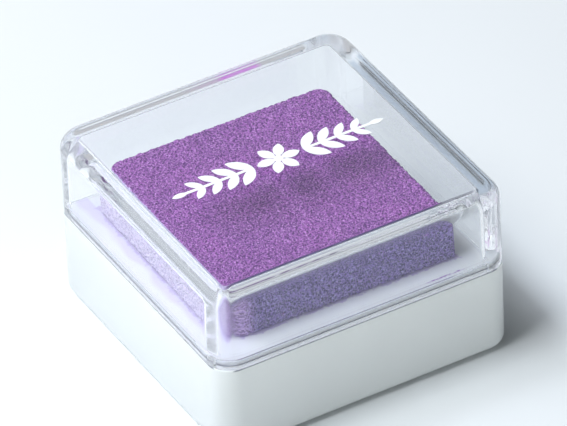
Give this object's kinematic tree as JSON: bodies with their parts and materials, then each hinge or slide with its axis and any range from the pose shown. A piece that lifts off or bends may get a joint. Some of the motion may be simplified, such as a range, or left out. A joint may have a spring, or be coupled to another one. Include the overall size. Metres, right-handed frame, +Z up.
{
  "type": "ink pad",
  "caption": "Small square ink pad: a raised purple foam pad on a white two-piece base, under a clear lift-off lid with a printed leaf garland.",
  "frame": {"origin": "middle of the underside of the base", "axes": "+Z up, the way the lid lifts off; +X along the garland printed on the lid; -Y is the front"},
  "size_m": [0.034, 0.034, 0.0201],
  "materials": {
    "base_plastic": "moulded white, soft gloss",
    "deck_plastic": "moulded white, soft gloss, ink stained",
    "adhesive": "thin double-sided tape",
    "inked_foam": "matt, fine open cells",
    "clear_plastic": "polished clear polystyrene",
    "print_ink": "opaque screen print",
    "label_paper": "coated paper"
  },
  "bodies": {
    "base": {"base_shell": "base_plastic", "pad_tray": "deck_plastic", "adhesive_sheet": "adhesive", "foam_pad": "inked_foam", "colour_label": "label_paper"},
    "lid": {"lid": "clear_plastic", "lid_print": "print_ink"}
  },
  "joints": [
    {"name": "lid_lift", "type": "slide", "parent": "base", "child": "lid", "axis": [0, 0, 1], "range_m": [0, 0.03]}
  ]
}
